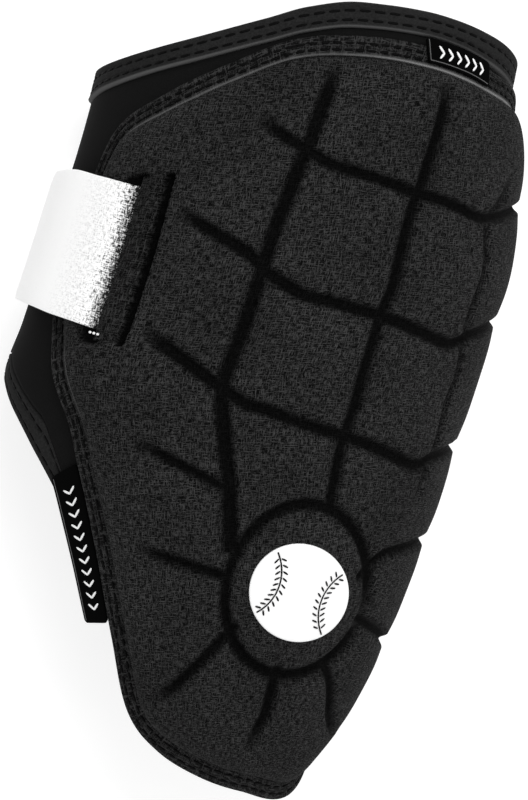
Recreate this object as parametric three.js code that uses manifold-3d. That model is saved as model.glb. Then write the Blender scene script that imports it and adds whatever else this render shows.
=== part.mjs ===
// Baseball elbow guard: a moulded foam pad sewn to a stretch sleeve and held by an elastic strap.
// Millimetres, +Z up. It lies on the back of its sleeve with the pad up. +X is the right of the front
// view, which is the view from above, and +Y runs from the pad's tip to the upper opening.
import * as THREE from "three";
import { mergeVertices } from "three/addons/utils/BufferGeometryUtils.js";
import Module from "manifold-3d";

const wasm = await Module();
wasm.setup();

// Overall sizes
const guardLength = 224; // from the pad's tip to the top of the upper hem
const guardWidth = 148; // across pad and sleeve in the front view
const sleeveDepth = 80; // from the surface it lies on to the front of the sleeve
const clearance = 0.45; // between pieces that touch

// Sleeve and hems
const sleeveWall = 2.6;
const hemWidth = 7.4;
const hemWall = 4.2; // the cloth is folded inwards, so a hem is thicker than the sleeve
const topHemProud = 0.9;

// Pad
const padThickness = 8;
const padEdgeThickness = 2.8;
const shoulderWidth = 13; // over which the pad rises from its edge to full thickness
const capRise = 1.2; // of the elbow cap above the blocks
const bindingWidth = 5.8;
const bindingThickness = 2.2;
const grooveDepth = 2.6;
const longGrooveWidth = 4.8;
const crossGrooveWidth = 4;
const capLength = 49.2; // of the ellipse that the cap's ring groove follows
const capWidth = 39.4;
const ringGrooveWidth = 3.4;

// Strap
const strapWidth = 40;
const strapThickness = 1.5;
const slotWidth = 2.1;
const slotDepth = 3.5;
const slotLength = 46.2;
const keeperWidth = 5;
const keeperHeight = 1.8;
const tabLength = 13;
const tabThickness = 2;

// Emblem and labels
const emblemDiameter = 27.5;
const emblemThickness = 0.8;
const labelThickness = 0.8;
const sideLabelLength = 45;
const sideLabelWidth = 12.4;
const sideLabelSlant = 4;
const hemLabelLength = 24;
const hemLabelDrop = 7;

// The tables give places on a front-view grid laid over the guard: 528 steps across and 800 rows down,
// counted from the top left corner of its outline. They are shares of guardWidth and guardLength.
const gridSteps = 528;
const gridRows = 800;
const acrossStep = guardWidth / gridSteps;
const alongStep = guardLength / gridRows;
const degree = Math.PI / 180;
const clothPerDegree = 1; // millimetres of cloth round the sleeve for one degree of turn
const riseShare = 0.75; // of a section's half width, from its widest place up to its front
const flatness = 1.3; // how much deeper a section would be if it were not flattened where it rests
const cornerEase = 5; // height over which a section rounds into its flat back

// Sections of the sleeve: its left and right side, and its front as a share of sleeveDepth.
const sections = [
  { row: 20, left: 110, right: 522, front: 0.97 },
  { row: 60, left: 101, right: 516, front: 0.985 },
  { row: 100, left: 91, right: 508, front: 1 },
  { row: 150, left: 77, right: 498, front: 1 },
  { row: 200, left: 61, right: 492, front: 1 },
  { row: 260, left: 42, right: 484, front: 1 },
  { row: 320, left: 22, right: 467, front: 1 },
  { row: 380, left: 3, right: 448, front: 1 },
  { row: 440, left: 12, right: 428, front: 0.99 },
  { row: 500, left: 27, right: 409, front: 0.96 },
  { row: 560, left: 43, right: 387, front: 0.91 },
  { row: 640, left: 64, right: 355, front: 0.81 },
  { row: 700, left: 82, right: 326, front: 0.71 },
  { row: 750, left: 100, right: 302, front: 0.6 },
  { row: 800, left: 114, right: 290, front: 0.46 },
];

// Edge of the upper opening, by turn round the sleeve, and the hem's width there as a share of hemWidth.
const topEdge = [
  { turn: -180, row: 86, wide: 1 },
  { turn: -130, row: 80, wide: 1.1 },
  { turn: -90, row: 68, wide: 1.3 },
  { turn: -70, row: 60, wide: 1.1 },
  { turn: -39, row: 40, wide: 1 },
  { turn: -14, row: 18, wide: 1 },
  { turn: -3, row: 7, wide: 1.03 },
  { turn: 9, row: 2, wide: 1.03 },
  { turn: 19, row: 5, wide: 0.98 },
  { turn: 33, row: 12, wide: 0.96 },
  { turn: 45, row: 21, wide: 1 },
  { turn: 62, row: 36, wide: 1.15 },
  { turn: 90, row: 60, wide: 1.25 },
  { turn: 130, row: 80, wide: 1.1 },
  { turn: 180, row: 86, wide: 1 },
];

// Edge of the lower opening, in the same way. It is long in front, under the pad, and short behind the arm.
const lowEdge = [
  { turn: -180, row: 428, wide: 1 },
  { turn: -150, row: 420, wide: 1 },
  { turn: -115, row: 390, wide: 1.05 },
  { turn: -90, row: 382, wide: 1.15 },
  { turn: -76, row: 414, wide: 1.4 },
  { turn: -64, row: 461, wide: 1.45 },
  { turn: -57, row: 502, wide: 1.35 },
  { turn: -50, row: 565, wide: 1.1 },
  { turn: -40, row: 625, wide: 1 },
  { turn: -20, row: 655, wide: 1 },
  { turn: 16, row: 664, wide: 1 },
  { turn: 46, row: 645, wide: 1 },
  { turn: 66, row: 603, wide: 1 },
  { turn: 80, row: 553, wide: 1 },
  { turn: 94, row: 497, wide: 1 },
  { turn: 108, row: 448, wide: 1 },
  { turn: 124, row: 415, wide: 1 },
  { turn: 148, row: 415, wide: 1 },
  { turn: 180, row: 428, wide: 1 },
];

// Outline of the pad inside its binding. The side that the front view hides is given by turn.
const padOutline = [
  { across: 67, row: 345 },
  { across: 68, row: 300 },
  { across: 88, row: 232 },
  { across: 108, row: 173 },
  { across: 125, row: 141 },
  { across: 168, row: 114 },
  { across: 236, row: 84 },
  { across: 298, row: 62 },
  { across: 365, row: 60 },
  { across: 432, row: 71 },
  { across: 491, row: 94 },
  { turn: 80, row: 112 },
  { turn: 95, row: 145 },
  { turn: 102, row: 210 },
  { turn: 104, row: 330 },
  { turn: 103, row: 470 },
  { turn: 100, row: 590 },
  { turn: 95, row: 670 },
  { turn: 86, row: 730 },
  { across: 291, row: 774 },
  { across: 250, row: 768 },
  { across: 209, row: 755 },
  { across: 166, row: 731 },
  { across: 144, row: 706 },
  { across: 128, row: 634 },
  { across: 112, row: 547 },
  { across: 96, row: 473 },
  { across: 84, row: 420 },
  { across: 71, row: 384 },
];
const padCentre = { turn: 28, row: 380 };

// Long grooves, then the shorter ones that part the blocks, by their front-view places.
const grooves = {
  long_left: [[333, 84], [322, 110], [301, 163], [267, 253], [242, 332], [223, 390], [227, 460], [229, 545]],
  long_right: [[450, 96], [442, 127], [423, 187], [400, 265], [377, 336], [347, 435], [334, 490]],
  far_right: [[510, 185], [490, 225], [487, 268], [469, 327], [449, 403], [426, 477]],
  first: [[259, 116], [281, 135], [308, 151], [345, 170], [415, 194], [463, 209], [500, 217], [519, 212]],
  second: [[177, 209], [205, 228], [263, 270], [306, 297], [380, 316], [454, 345], [492, 330]],
  third: [[145, 329], [182, 359], [217, 385], [269, 411], [345, 437], [421, 467], [455, 450]],
  fourth_left: [[131, 442], [177, 464], [224, 488]],
  fourth_right: [[366, 573], [385, 556], [421, 546]],
  fifth: [[136, 549], [179, 563], [220, 576]],
  sixth: [[357, 619], [371, 627], [388, 639]],
  seventh: [[228, 636], [196, 668], [156, 704]],
  eighth: [[276, 680], [266, 718], [248, 757]],
  ninth: [[327, 671], [333, 699], [334, 738]],
};
const longGrooves = ["long_left", "long_right"];
const capCentre = { across: 297.5, row: 591 };

// The strap: its upper and lower edge, and its height over the sleeve as a share of the pad's thickness.
const strapRun = [
  { turn: -180, upper: 166, lower: 309, height: 0 },
  { turn: -150, upper: 167, lower: 308, height: 0 },
  { turn: -132, upper: 169, lower: 307, height: 0.04 },
  { turn: -110, upper: 173, lower: 304, height: 0.12 },
  { turn: -90, upper: 177, lower: 302, height: 0.25 },
  { turn: -75, upper: 176, lower: 305, height: 0.52 },
  { turn: -60, upper: 176, lower: 313, height: 0.9 },
  { turn: -48, upper: 182, lower: 323, height: 1.04 },
  { turn: -35, upper: 191, lower: 335, height: 1.06 },
];
const strapRunWidth = 40; // that the edges above stand for: strapWidth draws them in or out
const strapEnd = -233; // turn at the tab, past the back of the sleeve
const slotTurn = -28;
const slotMiddle = 263; // row
const slotFlare = 0.7; // of slotWidth, from the slot's middle to its rim
const sideLabelRow = 462; // of its upper end, beside the binding
const hemLabelTurn = 31.5; // of its left end, under the upper hem
const hemLabelLean = 2; // degrees of turn that its free edge is farther to the right

// Value of one column of a table at a place: cubic pieces through its rows that never overshoot.
function column(table, by, key, at) {
  const last = table.length - 2;
  const chord = (j) => (table[j + 1][key] - table[j][key]) / (table[j + 1][by] - table[j][by]);
  const slope = (j) => {
    if (j === 0 || j > last) return chord(Math.min(j, last));
    const before = chord(j - 1);
    const after = chord(j);
    return before * after <= 0 ? 0 : (2 * before * after) / (before + after);
  };
  let i = 0;
  while (i < last && at > table[i + 1][by]) i++;
  const low = table[i];
  const high = table[i + 1];
  const span = high[by] - low[by];
  const t = (at - low[by]) / span;
  if (t < 0) return low[key] + slope(i) * t * span;
  if (t > 1) return high[key] + slope(i + 1) * (t - 1) * span;
  const start = (1 + 2 * t) * (1 - t) ** 2 * low[key] + t * (1 - t) ** 2 * span * slope(i);
  return start + t * t * (3 - 2 * t) * high[key] + t * t * (t - 1) * span * slope(i + 1);
}

const alongOf = (row) => (gridRows - row) * alongStep;
const rowOf = (along) => gridRows - along / alongStep;

// Height of the sleeve's back over the surface: it is drawn in under the strap and out to the hems.
const backRows = [
  { row: 0, lift: topHemProud },
  { row: 118, lift: topHemProud },
  { row: 150, lift: clearance + strapThickness },
  { row: 326, lift: clearance + strapThickness },
  { row: 372, lift: 0 },
  { row: gridRows, lift: 0 },
];

// The sleeve's section at a place along it: middle and half width, height of the middle, rise to the front.
function sectionAt(along) {
  const row = rowOf(along);
  const left = column(sections, "row", "left", row) * acrossStep;
  const right = column(sections, "row", "right", row) * acrossStep;
  const half = (right - left) / 2;
  const front = column(sections, "row", "front", row) * sleeveDepth;
  const rise = Math.min(half * riseShare, front * 0.62);
  return { middle: left + half, half, rise, height: front - rise, back: column(backRows, "row", "lift", row) };
}

// A point of the sleeve's outer skin. The turn is in degrees from the front, to the right.
function skinPoint(turn, along) {
  const s = sectionAt(along);
  const x = s.middle + s.half * Math.sin(turn * degree);
  const up = Math.cos(turn * degree);
  if (up >= 0) return new THREE.Vector3(x, along, s.height + s.rise * up);
  const round = s.height * (1 + flatness * up);
  const ease = Math.max(cornerEase - Math.abs(round - s.back), 0) ** 2 / (4 * cornerEase);
  return new THREE.Vector3(x, along, Math.max(s.back, round) + ease);
}

// A point at a height over the skin, along its normal.
function overSkin(turn, along, lift) {
  const round = skinPoint(turn + 0.5, along).sub(skinPoint(turn - 0.5, along));
  const length = skinPoint(turn, along + 0.5).sub(skinPoint(turn, along - 0.5));
  const normal = round.cross(length).normalize();
  return skinPoint(turn, along).addScaledVector(normal, lift);
}

// The place on the skin, as turn and along, that the front view shows at a grid place on the pad.
function placeOf({ across, row, turn }, lift) {
  const along = alongOf(row);
  if (turn !== undefined) return { turn, along };
  const s = sectionAt(along);
  const reach = (across * acrossStep - s.middle) / (s.half + lift);
  return { turn: Math.asin(THREE.MathUtils.clamp(reach, -1, 1)) / degree, along };
}
// The same on the pad's face, which leans the place along the guard too: each round takes away what is
// still left of that.
function facePlaceOf({ across, row }) {
  const rounds = 5;
  const aim = { across, row };
  for (let k = 0; k < rounds; k++) {
    const { turn, along } = placeOf(aim, padThickness);
    const seen = overSkin(turn, along, clearance + padThickness);
    aim.across += across - seen.x / acrossStep;
    aim.row += row - rowOf(seen.y);
  }
  return placeOf(aim, padThickness);
}

// Cloth coordinates: millimetres round the sleeve and along it.
const toCloth = ({ turn, along }) => new THREE.Vector3(turn * clothPerDegree, along, 0);
const overCloth = (p, lift) => overSkin(p.x / clothPerDegree, p.y, lift);
const smooth = (points, closed) => new THREE.CatmullRomCurve3(points, closed, "centripetal");

// A closed outline in cloth coordinates as a reach from its centre in each direction.
function reachTable(points, centre) {
  return points
    .map((p) => ({ angle: Math.atan2(p.y - centre.y, p.x - centre.x), reach: Math.hypot(p.x - centre.x, p.y - centre.y) }))
    .sort((a, b) => a.angle - b.angle);
}
function reachAt(table, angle) {
  const turnFull = 2 * Math.PI;
  const a = ((angle + Math.PI) % turnFull + turnFull) % turnFull - Math.PI;
  let i = table.findIndex((row) => row.angle > a);
  if (i < 0) i = 0;
  const high = table[i];
  const low = table[(i + table.length - 1) % table.length];
  const span = (high.angle - low.angle + turnFull) % turnFull;
  const t = ((a - low.angle + turnFull) % turnFull) / span;
  return low.reach + t * (high.reach - low.reach);
}
// A cloth place moved to the left of a direction by real millimetres: a degree of turn is less cloth
// where the sleeve is narrow.
function sideways(p, ahead, by) {
  const s = sectionAt(p.y);
  const turn = (p.x / clothPerDegree) * degree;
  const deep = Math.cos(turn) >= 0 ? s.rise : s.height * flatness;
  const pace = (Math.hypot(s.half * Math.cos(turn), deep * Math.sin(turn)) * degree) / clothPerDegree;
  const left = new THREE.Vector3(-ahead.y, ahead.x * pace, 0).normalize();
  return new THREE.Vector3(p.x + (left.x / pace) * by, p.y + left.y * by, 0);
}
// The outline, which runs clockwise, moved outwards.
function widened(points, by) {
  return points.map((p, i) => {
    const before = points[(i + points.length - 1) % points.length];
    const after = points[(i + 1) % points.length];
    return sideways(p, after.clone().sub(before), by);
  });
}

const outlineSamples = 240;
const centre = toCloth({ turn: padCentre.turn, along: alongOf(padCentre.row) });
const edgePlaces = padOutline.map((row) => toCloth(placeOf(row, padEdgeThickness)));
const padEdge = smooth(edgePlaces, true).getSpacedPoints(outlineSamples).slice(0, -1);
const padReach = reachTable(padEdge, centre);
const bindingInner = reachTable(widened(padEdge, clearance), centre);
const bindingOuter = reachTable(widened(padEdge, clearance + bindingWidth), centre);

// Height of the pad's face over the skin at a cloth place: it rises from the edge in a round shoulder,
// and the elbow cap stands a little higher.
function padFace(p) {
  const away = p.clone().sub(centre);
  const inside = reachAt(padReach, Math.atan2(away.y, away.x)) - away.length();
  const t = THREE.MathUtils.clamp(inside / shoulderWidth, 0, 1);
  const shoulder = Math.sqrt(1 - (1 - t) ** 2);
  const fromCap = capShare(p);
  const cap = fromCap < 1 ? capRise * (1 - fromCap ** 2) : 0;
  return clearance + padEdgeThickness + (padThickness - padEdgeThickness) * shoulder + cap;
}
// The cap is an ellipse in the front view. Its share is 1 along the ring groove.
const capLean = 0.34; // radians, the cap's length follows the pad's lean
function capShare(p) {
  const seen = overCloth(p, clearance + padThickness);
  const x = seen.x - capCentre.across * acrossStep;
  const y = seen.y - alongOf(capCentre.row);
  const wide = x * Math.cos(capLean) - y * Math.sin(capLean);
  const long = x * Math.sin(capLean) + y * Math.cos(capLean);
  return Math.hypot(wide / (capWidth / 2), long / (capLength / 2));
}
function capPlace(wide, long) {
  const x = wide * Math.cos(capLean) + long * Math.sin(capLean);
  const y = long * Math.cos(capLean) - wide * Math.sin(capLean);
  return toCloth(facePlaceOf({ across: capCentre.across + x / acrossStep, row: capCentre.row - y / alongStep }));
}
const capEdge = (angle) => capPlace((capWidth / 2) * Math.cos(angle), (capLength / 2) * Math.sin(angle));

// Solid of a grid of points: rows by columns on an outer and an inner side, joined along open borders.
function shell(rows, cols, outer, inner, roundRows, roundCols) {
  const at = (i, j) => (i % rows) * cols + (j % cols);
  const position = [];
  for (const side of [outer, inner])
    for (let i = 0; i < rows; i++) for (let j = 0; j < cols; j++) position.push(...side(i, j).toArray());
  const index = [];
  const back = rows * cols;
  const quad = (a, b, c, d) => index.push(a, b, c, a, c, d);
  const lastRow = roundRows ? rows : rows - 1;
  const lastCol = roundCols ? cols : cols - 1;
  for (let i = 0; i < lastRow; i++)
    for (let j = 0; j < lastCol; j++) {
      quad(at(i, j), at(i + 1, j), at(i + 1, j + 1), at(i, j + 1));
      quad(back + at(i, j), back + at(i, j + 1), back + at(i + 1, j + 1), back + at(i + 1, j));
    }
  if (!roundCols)
    for (let i = 0; i < lastRow; i++) {
      quad(at(i + 1, 0), at(i, 0), back + at(i, 0), back + at(i + 1, 0));
      const j = cols - 1;
      quad(at(i, j), at(i + 1, j), back + at(i + 1, j), back + at(i, j));
    }
  if (!roundRows)
    for (let j = 0; j < lastCol; j++) {
      quad(at(0, j), at(0, j + 1), back + at(0, j + 1), back + at(0, j));
      const i = rows - 1;
      quad(at(i, j + 1), at(i, j), back + at(i, j), back + at(i, j + 1));
    }
  const geometry = new THREE.BufferGeometry();
  geometry.setAttribute("position", new THREE.Float32BufferAttribute(position, 3));
  geometry.setIndex(index);
  return geometry;
}

// Solid swept through sections of the same number of points, each a ring of points.
function swept(rings, closed) {
  const count = rings[0].length;
  const position = rings.flat().flatMap((p) => p.toArray());
  const index = [];
  const last = closed ? rings.length : rings.length - 1;
  for (let i = 0; i < last; i++)
    for (let j = 0; j < count; j++) {
      const a = i * count + j;
      const b = i * count + ((j + 1) % count);
      const c = ((i + 1) % rings.length) * count;
      index.push(a, b, c + ((j + 1) % count), a, c + ((j + 1) % count), c + j);
    }
  if (!closed)
    for (let j = 1; j < count - 1; j++) {
      const end = (rings.length - 1) * count;
      index.push(0, j + 1, j, end, end + j, end + j + 1);
    }
  const geometry = new THREE.BufferGeometry();
  geometry.setAttribute("position", new THREE.Float32BufferAttribute(position, 3));
  geometry.setIndex(index);
  return geometry;
}

// manifold-3d solids, turned the right way round, and back to three.js.
function solid(geometry) {
  const bare = geometry.clone();
  bare.deleteAttribute("normal");
  bare.deleteAttribute("uv");
  const merged = mergeVertices(bare, 1e-4);
  const vertProperties = Float32Array.from(merged.attributes.position.array);
  const triVerts = Uint32Array.from(merged.index.array);
  const made = new wasm.Manifold(new wasm.Mesh({ numProp: 3, vertProperties, triVerts }));
  if (made.volume() > 0) return made;
  triVerts.reverse();
  return new wasm.Manifold(new wasm.Mesh({ numProp: 3, vertProperties, triVerts }));
}
function geometryOf(manifold) {
  const mesh = manifold.getMesh();
  const geometry = new THREE.BufferGeometry();
  geometry.setAttribute("position", new THREE.Float32BufferAttribute(mesh.vertProperties, 3));
  geometry.setIndex(Array.from(mesh.triVerts));
  geometry.computeVertexNormals();
  return geometry;
}

// Edges of the sleeve as places along it, by turn. A hem is as wide as its slant makes it.
const around = (turn) => ((turn + 180) % 360 + 360) % 360 - 180;
const topAlong = (turn) => alongOf(column(topEdge, "turn", "row", around(turn)));
const lowAlong = (turn) => alongOf(column(lowEdge, "turn", "row", around(turn)));
function hemSpread(edge, turn, width) {
  const slope = (edge(turn + 1) - edge(turn - 1)) / (2 * clothPerDegree);
  return width * Math.hypot(1, slope);
}
const hemWidthAt = (table, turn) => hemWidth * column(table, "turn", "wide", around(turn));
const topHemLow = (turn, gap = 0) => topAlong(turn) - hemSpread(topAlong, turn, hemWidthAt(topEdge, turn) + gap);
const lowHemHigh = (turn, gap = 0) => lowAlong(turn) + hemSpread(lowAlong, turn, hemWidthAt(lowEdge, turn) + gap);

const aroundSteps = 60;
const turnAt = (i) => -180 + (360 * i) / aroundSteps;

function makeSleeve() {
  const rows = 10;
  const side = (lift) => (j, i) => {
    const turn = turnAt(i);
    const low = lowHemHigh(turn, clearance);
    const high = topHemLow(turn, clearance);
    return overSkin(turn, low + ((high - low) * j) / (rows - 1), lift);
  };
  return shell(rows, aroundSteps, side(0), side(-sleeveWall), false, true);
}

// A hem is a band between its free edge and the sleeve.
function makeHem(lowSide, highSide, proud) {
  const rows = 3;
  const side = (lift) => (j, i) => {
    const low = lowSide(turnAt(i));
    const high = highSide(turnAt(i));
    return overSkin(turnAt(i), low + ((high - low) * j) / (rows - 1), lift);
  };
  return shell(rows, aroundSteps, side(proud), side(proud - hemWall), false, true);
}

// A square grid drawn into the pad's outline: the square becomes a disc, and the disc the outline.
const padCells = 25;
function discPlace(i, j) {
  const spread = (k) => {
    const t = (2 * k) / padCells - 1;
    return 1.3 * t - 0.3 * t ** 3;
  };
  const u = spread(i);
  const v = spread(j);
  const x = u * Math.sqrt(1 - (v * v) / 2);
  const y = v * Math.sqrt(1 - (u * u) / 2);
  return { angle: Math.atan2(y, x), radius: Math.hypot(x, y) };
}
function fromCentre(angle, reach) {
  return new THREE.Vector3(centre.x + reach * Math.cos(angle), centre.y + reach * Math.sin(angle), 0);
}
function padPlace(i, j) {
  const { angle, radius } = discPlace(i, j);
  return fromCentre(angle, radius * reachAt(padReach, angle));
}
// Directions of the grid's border, in order round the pad.
function borderAngles() {
  const angles = [];
  for (let k = 0; k < padCells; k++) angles.push(discPlace(k, 0).angle, discPlace(padCells, k).angle);
  for (let k = 0; k < padCells; k++) angles.push(discPlace(padCells - k, padCells).angle);
  for (let k = 0; k < padCells; k++) angles.push(discPlace(0, padCells - k).angle);
  return angles.sort((a, b) => a - b);
}

// A channel cut along a path in the pad's face, narrower and flat at its bottom.
function channel(path, width, depth, steps, closed, fadeEnds) {
  const rings = [];
  const last = closed ? steps - 1 : steps;
  for (let k = 0; k <= last; k++) {
    const t = k / steps;
    const p = path.getPointAt(t);
    const ahead = path.getTangentAt(t);
    const fade = fadeEnds && (k === 0 || k === last) ? 0.45 : 1;
    const corner = (share, lift) => {
      return overCloth(sideways(p, ahead, share * width), padFace(p) + lift);
    };
    const deep = -depth * fade;
    rings.push([corner(-0.7, 1.2), corner(-0.25, deep), corner(0.25, deep), corner(0.7, 1.2)]);
  }
  return solid(swept(rings, closed));
}

// The slot's line, and from it to the left the keeper and the start of the strap.
const slotEdge = (share) => toCloth({ turn: slotTurn, along: alongOf(slotMiddle) + share * slotLength });
const keeperRight = -slotFlare * slotWidth - clearance;
const keeperLeft = keeperRight - keeperWidth;
const strapStart = slotTurn + (keeperLeft - clearance) / clothPerDegree;

function makePad() {
  const count = padCells + 1;
  const face = (i, j) => {
    const p = padPlace(i, j);
    return overCloth(p, padFace(p));
  };
  let pad = solid(shell(count, count, face, (i, j) => overCloth(padPlace(i, j), clearance), false, false));
  for (const [name, places] of Object.entries(grooves)) {
    const long = longGrooves.includes(name);
    const path = smooth(places.map(([across, row]) => toCloth(facePlaceOf({ across, row }))), false);
    const steps = Math.max(3, Math.round(path.getLength() / 11));
    pad = pad.subtract(channel(path, long ? longGrooveWidth : crossGrooveWidth, grooveDepth, steps, false, true));
  }
  const ringSteps = 26;
  const ringPoints = [];
  for (let k = 0; k < ringSteps; k++) ringPoints.push(capEdge((2 * Math.PI * k) / ringSteps));
  pad = pad.subtract(channel(smooth(ringPoints, true), ringGrooveWidth, grooveDepth, ringSteps, true, false));
  const slot = smooth([slotEdge(-0.5), slotEdge(0), slotEdge(0.5)], false);
  return geometryOf(pad.subtract(channel(slot, slotWidth, slotDepth, 6, false, false)));
}

function makeBinding() {
  const top = clearance + bindingThickness;
  const rings = borderAngles().map((angle) => {
    const at = (table, lift) => overCloth(fromCentre(angle, reachAt(table, angle)), lift);
    return [at(bindingInner, clearance), at(bindingOuter, clearance), at(bindingOuter, top), at(bindingInner, top)];
  });
  return swept(rings, true);
}

// The strap's edges and height, by turn. Past the back it runs level to the tab.
const strapColumn = (key, turn) => column(strapRun, "turn", key, Math.max(turn, -180));
function strapPoint(turn, share, lift) {
  const middle = alongOf((strapColumn("upper", turn) + strapColumn("lower", turn)) / 2);
  const shown = alongOf(strapColumn("upper", turn)) - alongOf(strapColumn("lower", turn));
  const wide = shown * (strapWidth / strapRunWidth);
  const height = clearance + strapColumn("height", turn) * padThickness;
  return overSkin(turn, middle + share * wide, height + lift);
}
const strapShares = [-0.5, -0.25, 0, 0.25, 0.5];
function strapRing(turn, thickness) {
  const row = (lift) => strapShares.map((share) => strapPoint(turn, share, lift));
  return [...row(0), ...row(thickness).reverse()];
}
function makeStrap() {
  const steps = 40;
  const rings = [];
  for (let k = 0; k <= steps; k++)
    rings.push(strapRing(strapStart + ((strapEnd - strapStart) * k) / steps, strapThickness));
  return swept(rings, false);
}

// A patch on the sleeve from the strap's end to the binding, which holds the end of the strap.
function makeTab() {
  const rings = [];
  const steps = 3;
  for (let k = 0; k <= steps; k++)
    rings.push(strapRing(strapEnd - (clearance + (tabLength * k) / steps) / clothPerDegree, tabThickness));
  return swept(rings, false);
}

// The lip between the strap and the slot: a bar with a rounded top on the pad's face.
function makeKeeper() {
  const steps = 6;
  const rings = [];
  for (let k = 0; k <= steps; k++) {
    const p = slotEdge(k / steps - 0.5);
    const corner = (share, lift) => {
      const q = new THREE.Vector3(p.x + keeperLeft + share * keeperWidth, p.y, 0);
      return overCloth(q, padFace(q) + clearance + lift);
    };
    const half = keeperHeight / 2;
    const top = [corner(1, half), corner(0.7, keeperHeight), corner(0.3, keeperHeight), corner(0, half)];
    rings.push([corner(0, 0), corner(1, 0), ...top]);
  }
  return swept(rings, false);
}

// A round plate on the elbow cap.
function makeEmblem() {
  const spokes = 28;
  const rings = 4;
  const side = (lift) => (i, j) => {
    const radius = (emblemDiameter / 2) * (j / (rings - 1));
    const angle = (2 * Math.PI * i) / spokes;
    const p = capPlace(radius * Math.cos(angle), radius * Math.sin(angle));
    return overCloth(p, padFace(p) + clearance + lift);
  };
  return shell(spokes, rings, side(emblemThickness), side(0), true, false);
}

// A label sewn in beside the binding and lying over the lower hem. Its upper end is cut at a slant.
function makeSideLabel() {
  const outer = widened(padEdge, 2 * clearance + bindingWidth);
  const from = alongOf(sideLabelRow);
  const leftSide = outer.filter((p) => p.x < 0 && p.y <= from && p.y >= from - sideLabelLength);
  leftSide.sort((a, b) => b.y - a.y);
  const rings = leftSide.map((p) => {
    const down = sideLabelSlant * (1 - (from - p.y) / sideLabelLength);
    const free = new THREE.Vector3(p.x - sideLabelWidth, p.y - down, 0);
    const row = (lift) => [overCloth(p, lift), overCloth(free, lift)];
    return [...row(clearance), ...row(clearance + labelThickness).reverse()];
  });
  return swept(rings, false);
}

// A label that hangs from the upper hem over the binding.
function makeHemLabel() {
  const steps = 4;
  const under = 2 * clearance + bindingThickness;
  const rings = [];
  for (let k = 0; k <= steps; k++) {
    const turn = hemLabelTurn + (hemLabelLength * k) / (steps * clothPerDegree);
    const high = topHemLow(turn) - clearance;
    const row = (lift) => [overSkin(turn, high, lift), overSkin(turn + hemLabelLean, high - hemLabelDrop, lift)];
    rings.push([...row(under), ...row(under + labelThickness).reverse()]);
  }
  return swept(rings, false);
}

const cloth = (color, roughness) => new THREE.MeshStandardMaterial({ color, roughness, metalness: 0 });
const pieces = {
  pad: [makePad, cloth(0x262626, 0.85)],
  pad_binding: [makeBinding, cloth(0x2a2a2a, 0.85)],
  sleeve: [makeSleeve, cloth(0x1e1e1e, 0.7)],
  sleeve_top_hem: [() => makeHem(topHemLow, topAlong, topHemProud), cloth(0x2b2b2b, 0.75)],
  sleeve_lower_hem: [() => makeHem(lowAlong, lowHemHigh, 0), cloth(0x2b2b2b, 0.75)],
  strap: [makeStrap, cloth(0xf2f2f2, 0.8)],
  strap_tab: [makeTab, cloth(0x202020, 0.8)],
  strap_keeper: [makeKeeper, cloth(0x262626, 0.85)],
  emblem: [makeEmblem, cloth(0xf7f7f7, 0.5)],
  side_label: [makeSideLabel, cloth(0x0c0c0c, 0.6)],
  hem_label: [makeHemLabel, cloth(0x0c0c0c, 0.6)],
};

const guard = new THREE.Group();
for (const [name, [make, material]] of Object.entries(pieces)) {
  const mesh = new THREE.Mesh(geometryOf(solid(make())), material);
  mesh.name = name;
  guard.add(mesh);
}

// The origin is the middle of the guard's footprint, on the surface it lies on.
const box = new THREE.Box3().setFromObject(guard);
const middle = box.getCenter(new THREE.Vector3());
guard.position.set(-middle.x, -middle.y, -box.min.z);

export default guard;
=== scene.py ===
"""Baseball elbow guard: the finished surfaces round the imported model.

Every surface is worked out with numpy from the section table below, as whole arrays. Places are in
millimetres in the guard's own front view until to_frame puts them into the frame, in metres.
"""

import math

import bpy
import numpy as np
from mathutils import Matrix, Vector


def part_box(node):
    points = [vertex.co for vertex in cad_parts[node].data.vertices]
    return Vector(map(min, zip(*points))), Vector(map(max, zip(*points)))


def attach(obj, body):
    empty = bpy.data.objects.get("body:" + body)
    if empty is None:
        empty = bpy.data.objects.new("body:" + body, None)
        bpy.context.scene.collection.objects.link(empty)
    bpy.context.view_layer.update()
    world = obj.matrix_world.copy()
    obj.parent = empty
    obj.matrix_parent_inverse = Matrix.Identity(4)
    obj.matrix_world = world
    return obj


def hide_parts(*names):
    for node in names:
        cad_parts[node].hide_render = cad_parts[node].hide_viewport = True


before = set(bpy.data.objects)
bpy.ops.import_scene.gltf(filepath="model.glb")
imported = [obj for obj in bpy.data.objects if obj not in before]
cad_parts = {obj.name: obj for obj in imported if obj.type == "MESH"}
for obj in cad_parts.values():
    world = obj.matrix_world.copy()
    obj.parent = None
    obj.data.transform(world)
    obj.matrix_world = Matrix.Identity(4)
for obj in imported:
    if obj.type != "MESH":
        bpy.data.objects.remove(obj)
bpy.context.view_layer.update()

# The camera looks straight down, as the photograph does, and takes the image to be 528 by 800.
PHOTO_WIDE = 528
PHOTO_HIGH = 800
SENSOR_MM = 36
LENS_MM = 900
TRUE_SIZE_HEIGHT = 0.062  # over the floor, where the image has the photograph's scale

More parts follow.
